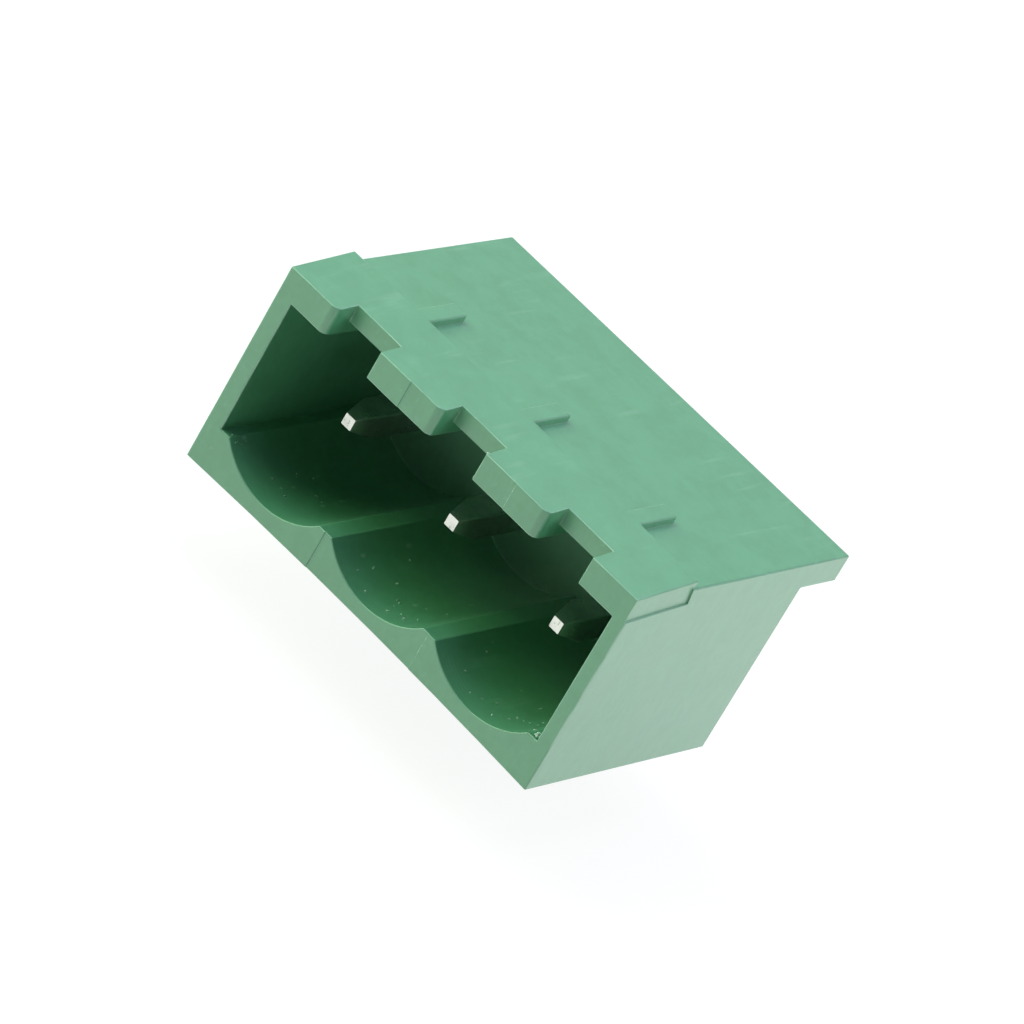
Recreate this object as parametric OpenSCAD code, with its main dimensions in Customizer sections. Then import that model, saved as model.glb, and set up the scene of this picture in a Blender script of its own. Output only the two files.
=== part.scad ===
// Right-angle board header of a pluggable terminal block: one moulded shroud
// with a keyed socket, and a row of bent square contacts pressed through its rear wall.
// X runs along the row, the socket opens towards -Y, and Z = 0 is the board.

/* [Contacts] */
// Number of contacts in the row
poles = 3; // [2:1:8]
// Distance between neighbouring contacts
pitch = 5.08; // [5:0.01:7.62]
// Side of a contact's square section
pin_t = 1; // [0.8:0.05:1.2]
// Height of the contacts' axis above the board
pin_z = 3.75; // [3.6:0.05:4.1]
// Distance from the front face in to the contacts' tips
tip_setback = 2.3; // [1.5:0.1:3.5]
// Length of the taper at each end of a contact
tip_taper = 1; // [0.6:0.05:1.4]
// Width of the flat at the end of each taper
tip_w = 0.48; // [0.3:0.02:0.6]
// Straight length between the rear wall and the start of the bend
pin_stub = 0.2; // [0.1:0.05:0.4]
// Bend radius on the contact's axis
bend_r = 0.9; // [0.8:0.05:1.2]
// Length of the solder legs below the board's face
leg_len = 3; // [2.4:0.1:4]

/* [Shroud] */
// Distance from the last contact's axis to the outside of the end wall
end_reach = 3.2; // [3.1:0.05:4.5]
// Height of the roof's upper face
body_h = 7.8; // [7.4:0.1:9]
// Depth of the end walls, front to rear
side_depth = 9.5; // [8:0.1:12]
// How far the roof runs out behind the end walls
roof_overhang = 1.9; // [1.9:0.1:3]
// Thickness of the end walls
end_t = 0.55; // [0.4:0.05:0.7]
// Thickness of the roof at its ribs
roof_t = 1.05; // [0.9:0.05:1.4]
// Thickness of the rear wall that holds the contacts
rear_t = 1.1; // [0.8:0.1:1.6]
// How far the end walls run on behind the rear wall
flank_reach = 0.4; // [0.2:0.05:0.8]
// Thickness of the floor straight under a contact
floor_t = 0.65; // [0.5:0.05:0.8]
// Height of the ridges between the floor's hollows
ridge_h = 1.6; // [1.3:0.05:1.9]
// Rise of the arch under the front lip
arch_rise = 0.15; // [0.1:0.05:0.35]
// How far back the arch runs out into the flat seat
arch_depth = 4; // [2:0.5:4.5]

/* [Keys and latch] */
// Width of the keyways in the roof, one over each contact
key_w = 2.1; // [1.6:0.05:2.6]
// Depth of the keyways into the roof
key_depth = 0.45; // [0.3:0.05:0.6]
// How far the keyways' notches are cut back into the front edge
notch_depth = 1; // [0.6:0.1:1.8]
// Radius at one mouth corner of each notch
notch_r = 0.3; // [0.1:0.05:0.45]
// Depth of the sloped latch ledge behind the front edge
latch_depth = 3.05; // [2.4:0.05:4]
// Rise of the latch ledge at its rear edge
latch_rise = 0.28; // [0.15:0.01:0.4]
// Width of the nib that runs back from the ledge over each contact
nib_w = 0.7; // [0.5:0.05:1.2]
// Length of the nibs
nib_len = 2; // [1:0.1:3]
// Depth of the shallow steps in the ends: at +X beside the ledge, at -X beside the roof
step_t = 0.12; // [0.05:0.01:0.2]
// Height of those steps, down from the ledge's rear edge and from the roof
step_h = 0.9; // [0.6:0.05:1.4]
// How far the +X step's rear edge leans forward at the top
step_lean = 0.16; // [0:0.02:0.3]

/* [Rear dividers] */
// Thickness of the walls between the solder legs
divider_t = 1.2; // [0.8:0.1:1.6]
// How far the dividers stop short of the roof's rear edge
divider_set = 0.5; // [0.3:0.1:0.8]
// Size of the slope at the dividers' lower rear corner
divider_slope = 1; // [0.4:0.1:1.2]

/* [Hidden] */
$fn = 96;
cut = 0.5;             // how far a cutting shape runs past the face it opens
fuse = 0.2;            // how deep an added shape is rooted in the wall behind it
press_clearance = 0;   // the contacts sit line to line in their holes

row_w = (poles - 1) * pitch;
body_w = row_w + 2 * end_reach;
roof_depth = side_depth + roof_overhang;
seat_mid = side_depth / 2;
rear_face = side_depth - flank_reach;
cavity_depth = rear_face - rear_t;
cavity_w = body_w - 2 * end_t;
rib_z = body_h - roof_t;
key_z = rib_z + key_depth;
ledge_z = body_h + latch_rise;
hollow_r = pin_z - floor_t;
leg_y = rear_face + pin_stub + bend_r;
arch_r = (pow(body_w / 2, 2) + pow(arch_rise, 2)) / (2 * arch_rise);
arch_tilt = atan(arch_rise / arch_depth);
arch_z = arch_rise - arch_r / cos(arch_tilt);

function pin_x(i) = (i - (poles + 1) / 2) * pitch;

// The model is drawn from the front face back, then set with the seat's middle at the origin.
module placed() {
    translate([0, -seat_mid, 0]) children();
}

// A side view, drawn as (depth, height), made into a slab of width w centred on x.
module across(w, x = 0) {
    translate([x - w / 2, 0, 0]) rotate([90, 0, 90]) linear_extrude(w) children();
}

// A front view, drawn as (x, height), made into a slab from depth y0 back to y1.
module back(y0, y1) {
    translate([0, y1, 0]) rotate([90, 0, 0]) linear_extrude(y1 - y0) children();
}

// A plan view, drawn as (x, depth), made into a slab from height z0 up to z1.
module up(z0, z1) {
    translate([0, 0, z0]) linear_extrude(z1 - z0) children();
}

module shroud_side() {
    polygon([
        [0, 0], [side_depth, 0], [side_depth, rib_z], [roof_depth, rib_z],
        [roof_depth, body_h], [latch_depth, body_h], [latch_depth, ledge_z], [0, body_h]
    ]);
}

module nib(x) {
    nib_end = latch_depth + nib_len;
    across(nib_w, x) polygon([
        [latch_depth - fuse, body_h - fuse], [nib_end, body_h - fuse],
        [nib_end, ledge_z], [latch_depth, ledge_z]
    ]);
}

module divider(x) {
    y1 = roof_depth - divider_set;
    across(divider_t, x) polygon([
        [rear_face - fuse, 0], [y1 - divider_slope, 0], [y1, divider_slope],
        [y1, rib_z + fuse], [rear_face - fuse, rib_z + fuse]
    ]);
}

// Everything behind the rear wall and between the flanks is open below the roof.
module rear_recess() {
    translate([-cavity_w / 2, rear_face, -cut])
        cube([cavity_w, side_depth - rear_face + cut, rib_z + cut]);
}

// Front view of the socket: a box over round hollows, one under each contact.
module socket_section() {
    translate([-cavity_w / 2, ridge_h]) square([cavity_w, rib_z - ridge_h]);
    for (i = [1:poles]) {
        intersection() {
            translate([pin_x(i), pin_z]) circle(hollow_r);
            translate([pin_x(i) - pitch / 2, 0]) square([pitch, ridge_h + cut]);
        }
        translate([pin_x(i) - key_w / 2, ridge_h]) square([key_w, key_z - ridge_h]);
    }
}

module notch(x) {
    x0 = x - key_w / 2;
    up(rib_z, ledge_z + cut) {
        translate([x0, -cut]) square([key_w, notch_depth + cut]);
        difference() {
            translate([x0 - notch_r, -cut]) square([notch_r + cut, notch_r + cut]);
            translate([x0 - notch_r, notch_r]) circle(notch_r);
        }
    }
}

// At +X the ledge's end is set back, with a step line parallel to the ledge.
module ledge_step() {
    z0 = body_h - step_h;
    top = ledge_z + cut;
    across(2 * step_t, body_w / 2) polygon([
        [-cut, z0 - cut * latch_rise / latch_depth], [latch_depth, z0 + latch_rise],
        [latch_depth - step_lean, body_h], [latch_depth, body_h], [latch_depth, top], [-cut, top]
    ]);
}

// At -X the wall and the ledge stand out instead, and the roof behind the ledge is set back.
module roof_step() {
    z0 = body_h - step_h;
    top = body_h + cut;
    across(2 * step_t, -body_w / 2 - step_t) polygon([
        [latch_depth, z0], [side_depth, z0], [side_depth, rib_z - cut],
        [roof_depth + cut, rib_z - cut], [roof_depth + cut, top], [latch_depth, top]
    ]);
}

module front_arch() {
    translate([0, 0, arch_z]) rotate([90 - arch_tilt, 0, 0])
        cylinder(r = arch_r, h = 2 * side_depth, center = true, $fn = 1440);
}

module pin_hole(x) {
    w = pin_t + 2 * press_clearance;
    translate([x - w / 2, cavity_depth - cut, pin_z - w / 2]) cube([w, rear_t + 2 * cut, w]);
}

module housing() {
    color([0.42, 0.66, 0.5]) placed() difference() {
        union() {
            difference() {
                across(body_w + step_t, -step_t / 2) shroud_side();
                rear_recess();
                back(-cut, cavity_depth) socket_section();
            }
            for (i = [1:poles]) nib(pin_x(i));
            for (i = [1:poles - 1]) divider(pin_x(i) + pitch / 2);
        }
        for (i = [1:poles]) {
            notch(pin_x(i));
            pin_hole(pin_x(i));
        }
        ledge_step();
        roof_step();
        front_arch();
    }
}

// A bar of the contact's width that ends in a taper at the origin and runs towards +x.
module tapered_bar(length) {
    polygon([
        [0, -tip_w / 2], [tip_taper, -pin_t / 2], [length, -pin_t / 2],
        [length, pin_t / 2], [tip_taper, pin_t / 2], [0, tip_w / 2]
    ]);
}

// Side view of a contact: a bar back through the wall, a round bend and a leg down.
module contact_side() {
    bend_y = leg_y - bend_r;
    bend_z = pin_z - bend_r;
    translate([tip_setback, pin_z]) tapered_bar(bend_y - tip_setback);
    translate([leg_y, -leg_len]) rotate(90) tapered_bar(leg_len + bend_z);
    translate([bend_y, bend_z]) intersection() {
        difference() {
            circle(bend_r + pin_t / 2);
            circle(bend_r - pin_t / 2);
        }
        square(bend_r + pin_t);
    }
}

// The tapers seen from above and from the front, as slabs that the side view is cut with.
module contact_edges() {
    up(pin_z - bend_r, pin_z + pin_t) translate([0, tip_setback]) rotate(90)
        tapered_bar(roof_depth - tip_setback);
    back(leg_y - pin_t, roof_depth) translate([0, -leg_len]) rotate(90)
        tapered_bar(leg_len + pin_z);
}

module contact_pin(i) {
    color([0.8, 0.81, 0.82]) placed() translate([pin_x(i), 0, 0]) intersection() {
        across(2 * pin_t) contact_side();
        contact_edges();
    }
}

housing();
for (i = [1:poles])
    contact_pin(i);
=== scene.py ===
import math
import bmesh
import bpy
from mathutils import Matrix, Vector


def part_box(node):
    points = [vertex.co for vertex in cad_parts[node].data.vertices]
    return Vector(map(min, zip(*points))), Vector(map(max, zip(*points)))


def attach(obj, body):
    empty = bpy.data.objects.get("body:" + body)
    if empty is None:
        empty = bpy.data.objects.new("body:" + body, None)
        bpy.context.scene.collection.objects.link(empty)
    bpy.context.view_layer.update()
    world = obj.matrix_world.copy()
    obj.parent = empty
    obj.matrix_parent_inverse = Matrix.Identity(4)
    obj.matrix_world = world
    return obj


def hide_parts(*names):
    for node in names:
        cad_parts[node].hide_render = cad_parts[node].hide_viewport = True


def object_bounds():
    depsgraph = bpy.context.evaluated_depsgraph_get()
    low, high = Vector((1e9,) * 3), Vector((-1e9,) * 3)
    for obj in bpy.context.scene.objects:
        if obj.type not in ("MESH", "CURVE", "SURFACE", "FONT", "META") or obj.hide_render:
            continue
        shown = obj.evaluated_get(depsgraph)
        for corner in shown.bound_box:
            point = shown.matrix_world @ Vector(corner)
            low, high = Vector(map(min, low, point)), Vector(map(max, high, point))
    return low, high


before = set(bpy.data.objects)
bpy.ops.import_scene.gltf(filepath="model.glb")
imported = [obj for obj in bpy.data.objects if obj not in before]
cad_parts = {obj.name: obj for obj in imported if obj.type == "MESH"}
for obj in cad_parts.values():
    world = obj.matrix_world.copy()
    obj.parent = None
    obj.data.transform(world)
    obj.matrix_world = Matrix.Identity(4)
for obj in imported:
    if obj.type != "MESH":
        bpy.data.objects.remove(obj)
cadBox = [list(corner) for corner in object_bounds()]
mm = 0.001
body = "root"
contactNodes = sorted(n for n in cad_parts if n.startswith("contact_pin_"))
housingLow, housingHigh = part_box("housing")
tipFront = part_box(contactNodes[0])[0][1]
print("frame loaded, nodes:", len(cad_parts))

cameraPlace = {
    "target": (0.0, 0.773, 3.682),  # millimetres, the point that it looks at
    "azimuth": 27.647,              # degrees round from the socket's mouth towards +X
    "elevation": 27.668,
    "roll": 30.471,
    "distance": 232.53,
    "lens": 254.18,
}


def towards(azimuth, elevation):
    # unit vector from the part, azimuth counted from the socket's mouth towards +X
    azimuth, elevation = math.radians(azimuth), math.radians(elevation)
    return Vector((
        math.sin(azimuth) * math.cos(elevation),
        -math.cos(azimuth) * math.cos(elevation),
        math.sin(elevation),
    ))


def makeCamera(place):
    backwards = towards(place["azimuth"], place["elevation"])
    data = bpy.data.cameras.new("camera")
    data.lens = place["lens"]
    data.sensor_width = 36
    data.clip_start, data.clip_end = 0.01, 20
    camera = bpy.data.objects.new("camera", data)
    bpy.context.scene.collection.objects.link(camera)
    camera.location = (Vector(place["target"]) + backwards * place["distance"]) * mm
    turn = backwards.to_track_quat("Z", "Y").to_matrix().to_4x4()
    camera.rotation_euler = (turn @ Matrix.Rotation(math.radians(place["roll"]), 4, "Z")).to_euler()
    bpy.context.scene.camera = camera


makeCamera(cameraPlace)


class Graph:
    def __init__(self, tree):
        self.tree = tree

    # One node: its settings first, then the values or links of its sockets.
    def node(self, kind, settings=None, values=None):
        made = self.tree.nodes.new(kind)
        for name, value in (settings or {}).items():
            if name == "stops":
                self.setStops(made.color_ramp, value)
            else:
                setattr(made, name, value)
        for key, value in (values or {}).items():
            self.feed(made.inputs[key], value)
        return made

    def feed(self, socket, value):
        if isinstance(value, Wire):
            self.tree.links.new(value.socket, socket)
        elif isinstance(value, bpy.types.NodeSocket):
            self.tree.links.new(value, socket)
        else:
            socket.default_value = value

    def setStops(self, ramp, stops):
        ramp.interpolation = "EASE"
        while len(ramp.elements) < len(stops):
            ramp.elements.new(1.0)
        for element, (place, colour) in zip(ramp.elements, stops):
            element.position = place
            element.color = (*colour, 1)

    def wire(self, kind, settings=None, values=None, output=0):
        return Wire(self, self.node(kind, settings, values).outputs[output])

    def maths(self, operation, *terms):
        return self.wire("ShaderNodeMath", {"operation": operation}, dict(enumerate(terms)))

    def vectors(self, operation, *terms):
        return self.wire("ShaderNodeVectorMath", {"operation": operation}, dict(enumerate(terms)))

    def mixColour(self, factor, first, second):
        return self.wire("ShaderNodeMix", {"data_type": "RGBA"}, {0: factor, 6: first, 7: second}, output=2)

    # A soft step from one value to another.
    def mapRange(self, value, low, high, toLow=0.0, toHigh=1.0):
        settings = {"interpolation_type": "SMOOTHSTEP"}
        return self.wire("ShaderNodeMapRange", settings, {0: value, 1: low, 2: high, 3: toLow, 4: toHigh})

    # 1 between a rise and a fall, each a pair of places in millimetres where it starts and ends.
    def between(self, value, rise, fall):
        risen = self.mapRange(value, rise[0] * mm, rise[1] * mm)
        return risen * (1 - self.mapRange(value, fall[0] * mm, fall[1] * mm))

    # Noise with about so many lumps to the millimetre.
    def noise(self, place, perMillimetre, detail=2.0, **others):
        values = {"Vector": place, "Scale": perMillimetre / mm, "Detail": detail} | others
        return self.wire("ShaderNodeTexNoise", values=values)

    def axes(self, vector):
        parts = self.node("ShaderNodeSeparateXYZ", values={0: vector})
        return [Wire(self, out) for out in parts.outputs]

    def vector(self, x=0.0, y=0.0, z=0.0):
        return self.wire("ShaderNodeCombineXYZ", values={0: x, 1: y, 2: z})


class Wire:
    def __init__(self, graph, socket):
        self.graph, self.socket = graph, socket

    def __add__(self, other):
        return self.graph.maths("ADD", self, other)

    def __mul__(self, other):
        return self.graph.maths("MULTIPLY", self, other)

    def __sub__(self, other):
        return self.graph.maths("SUBTRACT", self, other)

    def __rsub__(self, other):
        return self.graph.maths("SUBTRACT", other, self)

    def __truediv__(self, other):
        return self.graph.maths("DIVIDE", self, other)

    def __rtruediv__(self, other):
        return self.graph.maths("DIVIDE", other, self)

    __radd__ = __add__
    __rmul__ = __mul__

    def atLeast(self, other):
        return self.graph.maths("MAXIMUM", self, other)

    def atMost(self, other):
        return self.graph.maths("MINIMUM", self, other)

    def size(self):
        return self.graph.maths("ABSOLUTE", self)

    def above(self, other):
        return self.graph.maths("GREATER_THAN", self, other)


def newMaterial(name):
    material = bpy.data.materials.new(name)
    material.use_nodes = True
    material.node_tree.nodes.clear()
    return material, Graph(material.node_tree)


def surface(graph, shader):
    graph.node("ShaderNodeOutputMaterial", values={"Surface": shader.outputs[0]})


plastic = {
    "colour": (0.094, 0.326, 0.173, 1),
    "dark": (0.074, 0.270, 0.139, 1),
    "pale": (0.29, 0.52, 0.38, 1),  # scuffs and specks, and the painted edge highlight
    "roughness": 0.42,
    "ior": 1.52,
    "skinRoughness": 0.34,          # of the smooth skin that the mould leaves on the surface
    "skinIor": 1.5,
    "cloudSize": 1.3,               # sizes, depths and heights are in millimetres
    "grainSize": 0.07,
    "grainDepth": 0.006,
    "mottleSize": 0.34,
    "flowWidth": 0.8,
    "scratchWidth": 0.16,
    "scratchStretch": 14,           # how many times longer than wide
    "speckSpacing": 0.55,
    "speckShare": 0.22,             # of the places where a speck could be
    "speckDepths": ((0.3, 0.7), (4, 5.5)),      # behind the mouth, where they come and go
    "speckHeights": ((0.4, 0.6), (2.2, 3.2)),
    "speckReach": 7.7,              # to either side of the middle
    "edgeHighlightDepth": (0.1, 0.5),        # behind the mouth, where the painted edge highlight fades
    "edgeHighlightHeights": ((1.6, 1.8), (7.3, 7.7)),
    "ringSpacing": 0.17,
    "ringDepths": ((0.16, 0.3), (0.6, 1.1)),
    "ringHeights": ((0.5, 0.6), (1.2, 1.7)),
    "ringSide": (-4, 4),            # across the row, where the rings grow stronger
}


def scratches(graph, place, look, axis):
    # long faint scuffs that run along one axis; 1 on a scuff
    squeeze = [1.0, 1.0, 1.0]
    squeeze[axis] = 1 / look["scratchStretch"]
    stretched = graph.vectors("MULTIPLY", place, tuple(squeeze))
    lines = graph.noise(stretched, 0.5 / look["scratchWidth"], Roughness=0.6)
    patches = graph.noise(place, 0.52)
    return graph.mapRange(lines, 0.58, 0.70) * graph.mapRange(patches, 0.40, 0.60)


def specks(graph, place, look):
    # small light flecks on the walls of the hollows, a little longer than wide
    stretched = graph.vectors("MULTIPLY", place, (1.0, 0.55, 1.0))
    cells = graph.node("ShaderNodeTexVoronoi", values={
        "Vector": stretched, "Scale": 1 / (look["speckSpacing"] * mm), "Randomness": 1.0,
    })
    picked, size, _ = graph.axes(cells.outputs["Color"])
    spot = 1 - graph.mapRange(Wire(graph, cells.outputs["Distance"]) / (0.10 + size * 0.16), 0.55, 1.0)
    x, y, z = graph.axes(place)
    inside = graph.between(y - housingLow[1], *look["speckDepths"])
    low = graph.between(z, *look["speckHeights"])
    offEnds = 1 - x.size().above(look["speckReach"] * mm)
    return spot * picked.above(1 - look["speckShare"]) * inside * low * offEnds


def flowLines(graph, place, look):
    # broad faint bands along the row, as the melt ran, and fainter ones across it
    bands = []
    for squeeze in ((0.09, 1.0, 1.0), (1.0, 0.12, 1.0)):
        stretched = graph.vectors("MULTIPLY", place, squeeze)
        band = graph.noise(stretched, 1 / look["flowWidth"], 4.0, Roughness=0.62)
        bands.append(graph.mapRange(band, 0.36, 0.64))
    return bands[0] * 0.6 + bands[1] * 0.4


def paintedEdgeHighlight(graph, place, look):
    # painted highlight: the rounded edges are painted a little paler, most round the mouth, in uneven
    # lengths
    edge = Wire(graph, graph.node("ShaderNodeAttribute", {"attribute_name": "worn"}).outputs["Fac"])
    _, y, z = graph.axes(place)
    start, end = look["edgeHighlightDepth"]
    atMouth = 1 - graph.mapRange(y - housingLow[1], start * mm, end * mm)
    besideMouth = graph.between(z, *look["edgeHighlightHeights"])
    uneven = graph.mapRange(graph.noise(place, 0.7, 4.0), 0.35, 0.60, 0.35, 1.0)
    return edge * (0.15 + atMouth * besideMouth * 1.2) * uneven


def toolRings(graph, place, look):
    # fine turned rings left by the mould's round cores, just inside the mouth
    x, y, z = graph.axes(place)
    depth = y - housingLow[1]
    spacing = look["ringSpacing"] * mm
    wave = graph.maths("SINE", (depth + graph.noise(place, 0.9) * spacing) * (2 * math.pi / spacing))
    ring = graph.mapRange(wave, 0.45, 1.0)
    band = graph.between(depth, *look["ringDepths"]) * graph.between(z, *look["ringHeights"])
    broken = graph.mapRange(graph.noise(place, 0.62, 3.0), 0.42, 0.58)
    start, end = look["ringSide"]
    return ring * band * broken * graph.mapRange(x, start * mm, end * mm, 0.35, 1.0)


def greenPolyamide(look):
    material, graph = newMaterial("greenPolyamide")
    coordinates = graph.node("ShaderNodeTexCoord")
    place = coordinates.outputs["Object"]
    clouds = graph.noise(place, 1 / look["cloudSize"], 5.0, Roughness=0.6, Distortion=0.4)
    cloud = graph.mapRange(clouds, 0.33, 0.67)
    grain = graph.noise(place, 1 / look["grainSize"], 3.0, Roughness=0.65)
    # scuffs run the way the plug slides, and up and down on the ends
    sideways = graph.axes(coordinates.outputs["Normal"])[0].size()
    onEnds = sideways.above(0.7)
    sliding, upright = scratches(graph, place, look, 1), scratches(graph, place, look, 2)
    scuff = sliding * (1 - onEnds) + upright * onEnds
    fleck = specks(graph, place, look)
    flow = flowLines(graph, place, look)
    # painted highlight along the rounded edges
    edge = paintedEdgeHighlight(graph, place, look)
    ring = toolRings(graph, place, look)
    # the paler marks: scuffs, specks, rings and grain, and the painted edge highlight
    marksAndEdgeHighlight = (scuff * 0.13 + fleck * 0.55 + ring * 0.16 + edge * 0.80 + (grain - 0.5) * 0.06).atLeast(0.0)
    # finer mottling, slanted a little, that shows most on the ends
    slanted = graph.node("ShaderNodeMapping", values={
        "Vector": place, "Rotation": (0.9, 0.0, 0.0), "Scale": (1.0, 1.0, 0.45),
    })
    fine = graph.noise(slanted.outputs[0], 1 / look["mottleSize"], 4.0, Roughness=0.7)
    mottle = graph.mapRange(fine, 0.32, 0.68)
    shade = cloud * 0.4 + flow * 0.3 + mottle * (0.3 + onEnds * 0.25)
    colour = graph.mixColour(marksAndEdgeHighlight, graph.mixColour(shade, look["dark"], look["colour"]), look["pale"])
    rough = look["roughness"] + (cloud - 0.5) * 0.05 + scuff * 0.08 + (grain - 0.5) * 0.10
    height = grain * 0.5 + fleck * 1.2 - scuff * 0.5 + ring * 0.8
    bump = graph.node("ShaderNodeBump", values={
        "Height": height, "Strength": 0.22, "Distance": look["grainDepth"] * mm,
    })
    shader = graph.node("ShaderNodeBsdfPrincipled", values={
        "Base Color": colour,
        "Roughness": rough,
        "IOR": look["ior"],
        "Coat Weight": 1.0,
        "Coat Roughness": look["skinRoughness"],
        "Coat IOR": look["skinIor"],
        "Normal": bump.outputs["Normal"],
    })
    surface(graph, shader)
    return material


tin = {
    "colour": (0.55, 0.535, 0.51, 1),
    "dull": (0.44, 0.44, 0.42, 1),
    "pit": (0.12, 0.11, 0.09, 1),
    "roughness": 0.30,
    "drawLine": 0.05,          # millimetres between the fine lines of the drawn wire
    "drawDepth": 0.004,
    "shearDepth": (0.01, 0.05),  # behind the tips, where the torn look of the sheared end fades
}


def tinPlating(look):
    material, graph = newMaterial("tinPlating")
    place = graph.node("ShaderNodeTexCoord").outputs["Object"]
    drawn = graph.vectors("MULTIPLY", place, (1.0, 0.05, 1.0))
    lines = graph.noise(drawn, 0.5 / look["drawLine"], 3.0)
    cloud = graph.noise(place, 3.2, 4.0)
    spots = graph.noise(place, 9.0)
    dull = (graph.mapRange(cloud, 0.42, 0.68) * 0.5 + graph.mapRange(spots, 0.60, 0.72) * 0.35).atMost(1.0)
    # sheared ends: small dark pits and torn places
    start, end = look["shearDepth"]
    atTip = 1 - graph.mapRange(graph.axes(place)[1] - tipFront, start * mm, end * mm)
    pit = graph.mapRange(graph.noise(place, 11.0), 0.60, 0.68) * atTip
    plate = graph.mixColour(dull, look["colour"], look["dull"])
    rough = look["roughness"] + (cloud - 0.5) * 0.12 + (lines - 0.5) * 0.08 + pit * 0.25
    bump = graph.node("ShaderNodeBump", values={
        "Height": lines, "Strength": 0.12, "Distance": look["drawDepth"] * mm,
    })
    shader = graph.node("ShaderNodeBsdfPrincipled", values={
        "Base Color": graph.mixColour(pit * 0.6, plate, look["pit"]),
        "Metallic": 1.0,
        "Roughness": rough,
        "Normal": bump.outputs["Normal"],
    })
    surface(graph, shader)
    return material


swarf = {
    "stops": [(0.40, (0.20, 0.40, 0.29)), (0.62, (0.66, 0.76, 0.69))],  # from green to whitened
    "roughness": 0.5,
    "ior": 1.52,
}


def swarfSkin(look):
    # stress-whitened plastic of burrs and loose bits
    material, graph = newMaterial("swarf")
    place = graph.node("ShaderNodeTexCoord").outputs["Object"]
    noise = graph.noise(place, 9.0, 3.0)
    ramp = graph.node("ShaderNodeValToRGB", {"stops": look["stops"]}, {"Fac": noise})
    shader = graph.node("ShaderNodeBsdfPrincipled", values={
        "Base Color": ramp.outputs["Color"],
        "Roughness": look["roughness"] + (noise - 0.5) * 0.2,
        "IOR": look["ior"],
    })
    surface(graph, shader)
    return material


greenSkin = greenPolyamide(plastic)
whitened = swarfSkin(swarf)
tinSkin = tinPlating(tin)
print("materials made")


def newPiece(name, mesh, material):
    piece = bpy.data.objects.new(name, mesh)
    bpy.context.scene.collection.objects.link(piece)
    mesh.materials.clear()
    mesh.materials.append(material)
    return piece


def bake(piece):
    # the evaluated mesh takes the place of the piece's own, and its modifiers go
    evaluated = piece.evaluated_get(bpy.context.evaluated_depsgraph_get())
    mesh = bpy.data.meshes.new_from_object(evaluated)
    piece.modifiers.clear()
    piece.data = mesh
    return piece


def keepFlats(piece):
    # smooth shading that follows the largest face at each corner
    weighted = piece.modifiers.new("flats", "WEIGHTED_NORMAL")
    weighted.mode = "FACE_AREA"
    weighted.weight = 100
    weighted.keep_sharp = True
    return bake(piece)


def outwards(piece):
    # doubles merged, faces pointing out, smooth shading
    work = bmesh.new()
    work.from_mesh(piece.data)
    bmesh.ops.remove_doubles(work, verts=work.verts, dist=0.0001 * mm)
    bmesh.ops.recalc_face_normals(work, faces=work.faces)
    for face in work.faces:
        face.smooth = True
    work.to_mesh(piece.data)
    work.free()


class ShapeTree:
    # a geometry node tree with named inputs, which ends in real faces and their material
    def __init__(self, name, inputs, skin):
        self.tree = bpy.data.node_groups.new(name, "GeometryNodeTree")
        self.graph = Graph(self.tree)
        self.skin = skin
        self.tree.interface.new_socket("Geometry", in_out="OUTPUT", socket_type="NodeSocketGeometry")
        for label, value in inputs.items():
            kind = "NodeSocketInt" if isinstance(value, int) else "NodeSocketFloat"
            socket = self.tree.interface.new_socket(label, in_out="INPUT", socket_type=kind)
            socket.default_value = value
        source = self.graph.node("NodeGroupInput")
        self.sizes = {label: Wire(self.graph, source.outputs[label]) for label in inputs}

    def finish(self, geometry):
        real = self.graph.node("GeometryNodeRealizeInstances", values={0: geometry})
        dressed = self.graph.node("GeometryNodeSetMaterial", values={
            0: real.outputs[0], "Material": self.skin,
        })
        self.graph.node("NodeGroupOutput", values={0: dressed.outputs[0]})

    def make(self, name, values):
        piece = newPiece(name, bpy.data.meshes.new(name), self.skin)
        modifier = piece.modifiers.new("shape", "NODES")
        modifier.node_group = self.tree
        for item in self.tree.interface.items_tree:
            if item.in_out == "INPUT" and item.name in values:
                modifier[item.identifier] = values[item.name]
        return bake(piece)


shell = {
    # millimetres, the roundings first
    "widestEdge": 0.09,      # the others are set as shares of it
    "roofEdge": 0.055,       # the roof's and walls' outer edges
    "ledgeEdge": 0.04,       # round the ledge and its notches
    "mouthEdge": 0.06,       # round the socket's mouth
    "rimEdge": 0.045,        # the hollows' rims at the mouth
    "nibEdge": 0.08,         # the nibs and the ledge's rear edge
    "stepEdge": 0.018,       # the shallow steps in the ends
    "innerEdge": 0.04,       # inside the cavity and between the legs
    "fineEdge": 0.025,       # inner corners and the lower edges
    "sharpAngle": 22,        # degrees, past which an edge is rounded
    # where those edges lie: heights, and depths behind the mouth
    "endReach": 0.2,         # in from the outer faces of the ends
    "stepHeights": (6.7, 7.75),
    "stepDepth": 9.75,
    "roofHeight": 7.6,
    "ledgeHeight": 7.75,
    "ledgeDepth": 5.2,       # with the nibs
    "nibDepth": 2.9,
    "seatHeight": 0.2,
    "rimDepth": 0.1,
    "rimHeight": 1.58,
    "mouthDepth": 1.2,
    # the steps and the mould insert
    "stepSolid": 0.12,       # depth of the step beside the ledge in the solid
    "stepSet": 0.062,        # its depth as it looks
    "insertWidth": 5.08,     # the middle mould insert, between two parting lines
    "insertSet": 0.022,      # how far that insert's faces lie behind the others
    "insertSlope": 0.012,    # width of the slope at each parting line
    "insertDepth": 0.15,     # how far behind the mouth the insert's faces reach
}


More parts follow.
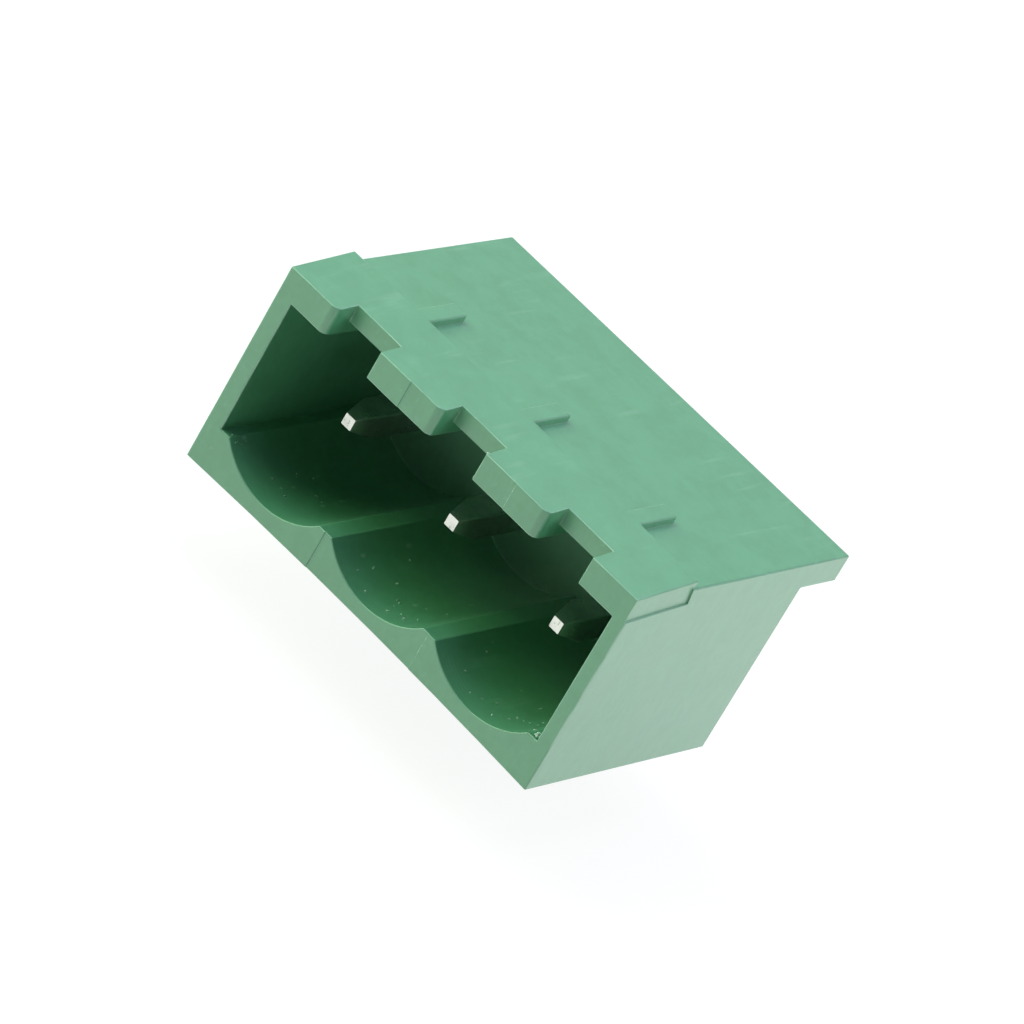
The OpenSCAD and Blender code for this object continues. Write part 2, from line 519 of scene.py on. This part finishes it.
def edgeRounding(edge):
    # the rounding that an edge of the moulding gets, by where it lies
    middle = (edge.verts[0].co + edge.verts[1].co) / 2 / mm
    depth, height = middle.y - housingLow[1] / mm, middle.z
    inset = min(housingHigh[0] / mm - middle.x, middle.x - housingLow[0] / mm)
    atEnd = inset < shell["endReach"]
    stepLow, stepHigh = shell["stepHeights"]
    onTop = height > shell["ledgeHeight"] and depth < shell["ledgeDepth"] and not atEnd
    if atEnd and stepLow < height < stepHigh and depth < shell["stepDepth"]:
        return shell["stepEdge"]
    if not edge.is_convex:
        return shell["fineEdge"]
    if onTop and depth > shell["nibDepth"]:
        return shell["nibEdge"]
    if height < shell["seatHeight"]:
        return shell["fineEdge"]
    if onTop:
        return shell["ledgeEdge"]
    if atEnd or height > shell["roofHeight"]:
        return shell["roofEdge"]
    if depth < shell["rimDepth"] and height < shell["rimHeight"]:
        return shell["rimEdge"]
    return shell["mouthEdge"] if depth < shell["mouthDepth"] else shell["innerEdge"]


def setInsertBack(work):
    # the middle mould insert's front lies a little behind its neighbours, past two narrow slopes
    reach = housingLow[1] + shell["insertDepth"] * mm
    half, slope = shell["insertWidth"] / 2 * mm, shell["insertSlope"] * mm
    for x in (-half, half - slope, -half + slope, half):
        faces = [face for face in work.faces if all(vert.co.y < reach for vert in face.verts)]
        edges = {edge for face in faces for edge in face.edges}
        verts = {vert for face in faces for vert in face.verts}
        parts = faces + list(edges) + list(verts)
        bmesh.ops.bisect_plane(work, geom=parts, dist=1e-8, plane_co=(x, 0, 0), plane_no=(1, 0, 0))
    for vert in work.verts:
        if vert.co.y < reach and abs(vert.co.x) < half - slope / 2:
            vert.co.y += shell["insertSet"] * mm
    for edge in work.edges:
        ends = [vert.co for vert in edge.verts]
        if all(abs(abs(end.x) - half) < 2 * slope and end.y < reach for end in ends):
            edge.smooth = False


def mergedCopy(node):
    # the CAD node's triangles with their doubles merged and their flat faces joined
    work = bmesh.new()
    work.from_mesh(node.data)
    bmesh.ops.remove_doubles(work, verts=work.verts, dist=0.0002 * mm)
    flat = math.radians(0.4)
    bmesh.ops.dissolve_limit(
        work, angle_limit=flat, verts=work.verts, edges=work.edges, use_dissolve_boundaries=False
    )
    return work


def roundEdges(piece):
    # the rounded strips come out in a second slot, which only serves to find them for the painted edge
    # highlight
    bevel = piece.modifiers.new("edges", "BEVEL")
    bevel.limit_method = "WEIGHT"
    bevel.width = shell["widestEdge"] * mm
    bevel.segments = 3
    bevel.use_clamp_overlap = False
    bevel.miter_outer = "MITER_ARC"
    piece.data.materials.append(greenSkin)
    bevel.material = 1
    bake(piece)


def makeHousing():
    work = mergedCopy(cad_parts["housing"])
    stepPlane = housingHigh[0] - shell["stepSolid"] * mm
    for vert in work.verts:
        if abs(vert.co.x - stepPlane) < 0.005 * mm:
            vert.co.x = housingHigh[0] - shell["stepSet"] * mm
    # the arch under the lip runs out just short of a corner, where the rounding needs room
    lip = housingLow[1] + shell["rimDepth"] * mm
    low = [vert for vert in work.verts if vert.co.z < 0.01 * mm and vert.co.y < lip]
    bmesh.ops.remove_doubles(work, verts=low, dist=0.02 * mm)
    layer = work.edges.layers.float.new("bevel_weight_edge")
    for edge in work.edges:
        if edge.calc_face_angle(0) > math.radians(shell["sharpAngle"]):
            edge[layer] = edgeRounding(edge) / shell["widestEdge"]
    mesh = bpy.data.meshes.new("housing_shell")
    work.to_mesh(mesh)
    work.free()
    piece = newPiece("housing_shell", mesh, greenSkin)
    roundEdges(piece)
    work = bmesh.new()
    work.from_mesh(piece.data)
    # the rounded strips are marked for the painted edge highlight in the material
    worn = work.verts.layers.float.new("worn")
    for vert in work.verts:
        vert[worn] = float(all(face.material_index == 1 for face in vert.link_faces))
    for face in work.faces:
        face.smooth = True
        face.material_index = 0
    setInsertBack(work)
    work.to_mesh(piece.data)
    work.free()
    piece.data.materials.pop(index=1)
    return keepFlats(piece)


housing = makeHousing()
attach(housing, body)
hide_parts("housing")
print("housing made:", len(housing.data.polygons), "faces")


flash = {
    "Place": 2.54,     # across the row: the parting line of the middle mould insert
    "Width": 0.042,
    "Waver": 0.010,    # how far the line wanders
}
flashRuns = {
    # name: lowest and highest point, millimetres
    "ridge_flash": (0.22, 1.50),
    "tab_flash": (6.86, 7.70),
}


def flashTree():
    # a thin uneven line of plastic that was squeezed out where two mould parts meet
    inputs = dict.fromkeys([*flash, "Front", "Low", "High"], 0.0) | {"Seed": 0, "Points": 40}
    shape = ShapeTree("flashLine", inputs, whitened)
    graph, size = shape.graph, shape.sizes
    spot = graph.node("GeometryNodeInputPosition").outputs[0]

    def uneven(step, scale):
        values = {"Vector": spot, "W": size["Seed"] + step, "Scale": scale}
        return graph.wire("ShaderNodeTexNoise", {"noise_dimensions": "4D"}, values)

    line = graph.node("GeometryNodeCurvePrimitiveLine", values={
        "Start": graph.vector(size["Place"], size["Front"], size["Low"]),
        "End": graph.vector(size["Place"], size["Front"], size["High"]),
    })
    points = graph.node("GeometryNodeResampleCurve", values={
        "Curve": line.outputs[0], "Count": size["Points"],
    })
    sway = (uneven(0, 2500.0) - 0.5) * size["Waver"] * 2
    moved = graph.node("GeometryNodeSetPosition", values={
        0: points.outputs[0], "Offset": graph.vector(sway, 0.0, 0.0),
    })
    profile = graph.node("GeometryNodeCurvePrimitiveCircle", {"mode": "RADIUS"}, {
        "Resolution": 6, "Radius": size["Width"] / 2,
    })
    solid = graph.node("GeometryNodeCurveToMesh", values={
        "Curve": moved.outputs[0],
        "Profile Curve": profile.outputs[0],
        "Scale": graph.mapRange(uneven(7, 3600.0), 0.3, 0.6, 0.5, 1.0),
        "Fill Caps": True,
    })
    shape.finish(solid.outputs[0])
    return shape


flashShape = flashTree()
for seed, (name, (low, high)) in enumerate(flashRuns.items()):
    values = {label: value * mm for label, value in flash.items()}
    values |= {
        "Front": housingLow[1] + shell["insertSet"] * mm,
        "Low": low * mm,
        "High": high * mm,
        "Seed": seed + 3,
    }
    piece = flashShape.make(name, values)
    outwards(piece)
    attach(piece, body)
print("flash made")


hollow = {"Axis Height": 3.75, "Radius": 3.1, "Stretch": 1.0}
# bits of swarf on the walls of the hollows, and burrs at a corner and on a tab of the ledge
swarfPatches = {
    # hollow, how many, their size, angles about its axis from straight down towards +X,
    # and depths behind the mouth
    "left_cusp_bits": (-5.08, 6, 0.07, (-52, -40), (0.08, 0.9)),
    "left_bits": (-5.08, 10, 0.08, (-20, 25), (1.2, 3.8)),
    "middle_bits": (0.0, 15, 0.09, (-30, 30), (0.6, 3.6)),
    "right_bits": (5.08, 14, 0.09, (-35, 35), (0.6, 3.2)),
    "corner_bits": (5.08, 5, 0.08, (40, 46), (0.1, 0.8)),
    "corner_chip": (5.08, 7, 0.30, (49.6, 50.8), (0.16, 0.22)),
    "tab_burr": (0.0, 6, 0.12, (164.7, 165.5), (0.07, 0.16)),
    "tab_foot_burr": (0.0, 6, 0.07, (160, 162), (0.06, 0.3)),
}
burrs = {
    # those that don't lie on a hollow's wall: distance from its axis, and how long they are
    "corner_chip": (3.27, 0.3),
    "tab_burr": (4.19, 0.4),
    "tab_foot_burr": (3.21, 0.6),
}
bitShape = {
    # shares of the size, lowest and highest
    "wide": (0.15, 0.5),
    "long": (0.3, 1.2),
    "high": (0.15, 0.4),
    "ragged": 0.6,
}


def swarfTree():
    places = ["Axis Height", "Radius", "Axis Place", "Size", "From", "To", "Near", "Far", "Front"]
    inputs = dict.fromkeys(places, 0.0) | {"Stretch": 1.0, "Count": 1, "Seed": 0}
    shape = ShapeTree("swarfBits", inputs, whitened)
    graph, size = shape.graph, shape.sizes

    def chance(step, low, high):
        return graph.wire("FunctionNodeRandomValue", {"data_type": "FLOAT"}, {
            2: low, 3: high, "Seed": size["Seed"] + step,
        }, output=1)

    angle, depth = chance(0, size["From"], size["To"]), chance(1, size["Near"], size["Far"])
    place = graph.vector(
        size["Axis Place"] + graph.maths("SINE", angle) * size["Radius"],
        size["Front"] + depth,
        size["Axis Height"] - graph.maths("COSINE", angle) * size["Radius"],
    )
    points = graph.node("GeometryNodePoints", values={"Count": size["Count"], "Position": place})
    pebble = graph.node("GeometryNodeMeshIcoSphere", values={"Radius": size["Size"], "Subdivisions": 2})
    shortest, longest = (size["Stretch"] * share for share in bitShape["long"])
    spread = graph.node("GeometryNodeInstanceOnPoints", values={
        "Points": points.outputs[0],
        "Instance": pebble.outputs[0],
        "Rotation": graph.vector(chance(2, -0.3, 0.3), chance(3, -0.6, 0.6), chance(4, -0.7, 0.7)),
        "Scale": graph.vector(
            chance(5, *bitShape["wide"]), chance(6, shortest, longest), chance(7, *bitShape["high"])
        ),
    })
    real = graph.node("GeometryNodeRealizeInstances", values={0: spread.outputs[0]})
    spot = graph.node("GeometryNodeInputPosition").outputs[0]
    lump = graph.node("ShaderNodeTexNoise", values={"Vector": spot, "Scale": 14000.0, "Detail": 2.0})
    push = graph.vectors("SUBTRACT", lump.outputs["Color"], (0.5, 0.5, 0.5))
    most = size["Size"] * bitShape["ragged"]
    ragged = graph.node("GeometryNodeSetPosition", values={
        0: real.outputs[0], "Offset": graph.vectors("MULTIPLY", push, graph.vector(most, most, most)),
    })
    shape.finish(ragged.outputs[0])
    return shape


swarfShape = swarfTree()
for seed, (name, patch) in enumerate(swarfPatches.items()):
    axisPlace, count, size, angles, depths = patch
    radius, stretch = burrs.get(name, (hollow["Radius"], hollow["Stretch"]))
    values = {
        "Axis Place": axisPlace * mm,
        "Axis Height": hollow["Axis Height"] * mm,
        "Radius": radius * mm,
        "Stretch": stretch,
        "Count": count,
        "Size": size * mm,
        "From": math.radians(angles[0]),
        "To": math.radians(angles[1]),
        "Near": depths[0] * mm,
        "Far": depths[1] * mm,
        "Front": housingLow[1],
        "Seed": 11 + 20 * seed,
    }
    piece = swarfShape.make(name, values)
    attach(piece, body)
print("swarf made")


contact = {
    "Side": 1.0,          # millimetres
    "Corner": 0.07,       # rounding of the bar's long edges
    "Tip Side": 0.48,
    "Taper": 1.0,
    "End Rounding": 0.05,
    "Bend Radius": 0.9,   # on the bar's axis
    "Axis Height": 3.75,
}


def contactTree():
    inputs = dict.fromkeys(contact, 0.0) | dict.fromkeys(["Place", "Front", "Leg", "Bottom"], 0.0)
    shape = ShapeTree("bentContact", inputs, tinSkin)
    graph, size = shape.graph, shape.sizes
    taper, rounding = size["Taper"], size["End Rounding"]
    front, leg, bottom, axis = size["Front"], size["Leg"], size["Bottom"], size["Axis Height"]
    # seven points: end, rounding, taper, corner of the bend, taper, rounding, end
    along = [front, front + rounding, front + taper, leg, leg, leg, leg]
    height = [axis, axis, axis, axis, bottom + taper, bottom + rounding, bottom]
    index = graph.node("GeometryNodeInputIndex").outputs[0]

    def pick(values):
        switch = graph.node("GeometryNodeIndexSwitch", {"data_type": "FLOAT"})
        while len(switch.index_switch_items) < len(values):
            switch.index_switch_items.new()
        graph.feed(switch.inputs[0], index)
        for place, value in enumerate(values):
            graph.feed(switch.inputs[place + 1], value)
        return Wire(graph, switch.outputs[0])

    line = graph.node("GeometryNodeCurvePrimitiveLine", values={"Start": (0, 0, 0), "End": (0, 1, 0)})
    points = graph.node("GeometryNodeResampleCurve", values={"Curve": line.outputs[0], "Count": len(along)})
    placed = graph.node("GeometryNodeSetPosition", values={
        0: points.outputs[0], "Position": graph.vector(size["Place"], pick(along), pick(height)),
    })
    isBend = pick([float(place == 3) for place in range(len(along))])
    bent = graph.node("GeometryNodeFilletCurve", {"mode": "POLY"}, {
        "Curve": placed.outputs[0], "Count": 14, "Radius": isBend * size["Bend Radius"],
    })
    # the section shrinks evenly over each taper, and a little more over the rounded end
    spot = graph.axes(graph.node("GeometryNodeInputPosition").outputs[0])
    away = (spot[1] - front).atLeast(0.0).atMost(spot[2] - bottom)
    tip = size["Tip Side"] / size["Side"]
    sloped = tip + (1 - tip) * (away / taper)
    ended = tip + (away - rounding) / size["Side"]
    radius = sloped.atMost(1.0).atMost(ended)
    square = graph.node("GeometryNodeCurvePrimitiveQuadrilateral", values={
        0: size["Side"], 1: size["Side"],
    })
    soft = graph.node("GeometryNodeFilletCurve", {"mode": "POLY"}, {
        "Curve": square.outputs[0], "Count": 4, "Radius": size["Corner"],
    })
    solid = graph.node("GeometryNodeCurveToMesh", values={
        "Curve": bent.outputs[0], "Profile Curve": soft.outputs[0], "Scale": radius, "Fill Caps": True,
    })
    shape.finish(solid.outputs[0])
    return shape


contactShape = contactTree()
for nodeName in contactNodes:
    low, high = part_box(nodeName)
    values = {name: value * mm for name, value in contact.items()}
    values |= {
        "Place": (low[0] + high[0]) / 2,
        "Front": low[1],
        "Leg": high[1] - values["Side"] / 2,
        "Bottom": low[2],
    }
    piece = contactShape.make(nodeName + "_bar", values)
    outwards(piece)
    keepFlats(piece)
    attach(piece, body)
    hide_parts(nodeName)
print("contacts made")


stageLook = {
    "floorSize": 3.0,               # metres
    "cameraFloor": (0.90, 0.13),    # own glow and tone of the floor, as the camera sees it
    "mirroredFloor": (1.01, 0.48),  # as reflections see it
    "bounceFloor": (0.40, 0.38),    # as the light that it throws back
    "mirroredSky": 0.51,
    "cast": (0.93, 1.0, 0.885, 1),  # faint colour of the floor in reflections and bounced light
    "lampDistance": 0.40,
    "lampSize": 0.28,
}

lamps = [
    # name, azimuth, elevation, strength, colour
    ("leftLamp", -90, 14, 0.70, (1.02, 1.10, 0.94)),
    ("keyLamp", -60, 40, 0.46, (0.86, 1.24, 0.68)),
    ("overLamp", -90, 65, 0.33, (1.04, 0.91, 1.34)),
    ("topLamp", 0, 88, 0.21, (1.02, 0.90, 1.38)),
    ("rightLamp", 90, 14, 0.06, (0.90, 1.12, 0.86)),
    ("backLamp", 120, 40, 0.40, (0.90, 1.08, 1.14)),
    ("rearLamp", 180, 65, 0.22, (1.06, 0.94, 1.24)),
]


def rayKinds(graph):
    # 1 for rays straight from the camera, and 1 for reflected or refracted ones
    rays = graph.node("ShaderNodeLightPath")
    camera = Wire(graph, rays.outputs["Is Camera Ray"])
    glossy = Wire(graph, rays.outputs["Is Glossy Ray"])
    return camera, glossy.atLeast(Wire(graph, rays.outputs["Is Transmission Ray"]))


def makeFloor(look):
    material, graph = newMaterial("floor")
    camera, mirrored = rayKinds(graph)

    def byRay(direct, mirror, bounce):
        return camera * (direct - bounce) + mirrored * (mirror - bounce) + bounce

    glows, tones = zip(look["cameraFloor"], look["mirroredFloor"], look["bounceFloor"])
    glowColour = graph.mixColour(camera, look["cast"], (1, 1, 1, 1))
    glow = graph.node("ShaderNodeEmission", values={"Color": glowColour, "Strength": byRay(*glows)})
    tone = graph.mixColour(byRay(*tones), (0, 0, 0, 1), (1, 1, 1, 1))
    lit = graph.node("ShaderNodeBsdfDiffuse", values={"Color": tone})
    shown = graph.node("ShaderNodeAddShader", values={0: glow.outputs[0], 1: lit.outputs[0]})
    # clear from below, so that views of the underside look through it
    behind = graph.node("ShaderNodeNewGeometry").outputs["Backfacing"]
    clear = graph.node("ShaderNodeBsdfTransparent")
    sided = graph.node("ShaderNodeMixShader", values={0: behind, 1: shown.outputs[0], 2: clear.outputs[0]})
    surface(graph, sided)
    half = look["floorSize"] / 2
    mesh = bpy.data.meshes.new("floor")
    corners = [(-half, -half), (half, -half), (half, half), (-half, half)]
    mesh.from_pydata([(x, y, cadBox[0][2]) for x, y in corners], [], [(0, 1, 2, 3)])
    newPiece("floor", mesh, material)


def makeWorld(look):
    world = bpy.data.worlds.new("world")
    bpy.context.scene.world = world
    world.use_nodes = True
    world.node_tree.nodes.clear()
    graph = Graph(world.node_tree)
    camera, mirrored = rayKinds(graph)
    strength = camera + mirrored * look["mirroredSky"]
    background = graph.node("ShaderNodeBackground", values={"Color": (1, 1, 1, 1), "Strength": strength})
    graph.node("ShaderNodeOutputWorld", values={"Surface": background.outputs[0]})


def makeLamp(look, name, azimuth, elevation, strength, colour):
    direction = towards(azimuth, elevation)
    distance = look["lampDistance"]
    data = bpy.data.lights.new(name, "AREA")
    data.shape = "DISK"
    data.size = look["lampSize"]
    data.color = colour
    data.energy = strength * (math.pi * distance) ** 2
    lamp = bpy.data.objects.new(name, data)
    bpy.context.scene.collection.objects.link(lamp)
    centre = (Vector(cadBox[0]) + Vector(cadBox[1])) / 2
    lamp.location = centre + direction * distance
    lamp.rotation_euler = direction.to_track_quat("Z", "Y").to_euler()
    lamp.visible_camera = False


makeFloor(stageLook)
makeWorld(stageLook)
for lamp in lamps:
    makeLamp(stageLook, *lamp)
print("stage made")

bpy.context.scene.view_settings.view_transform = "Standard"
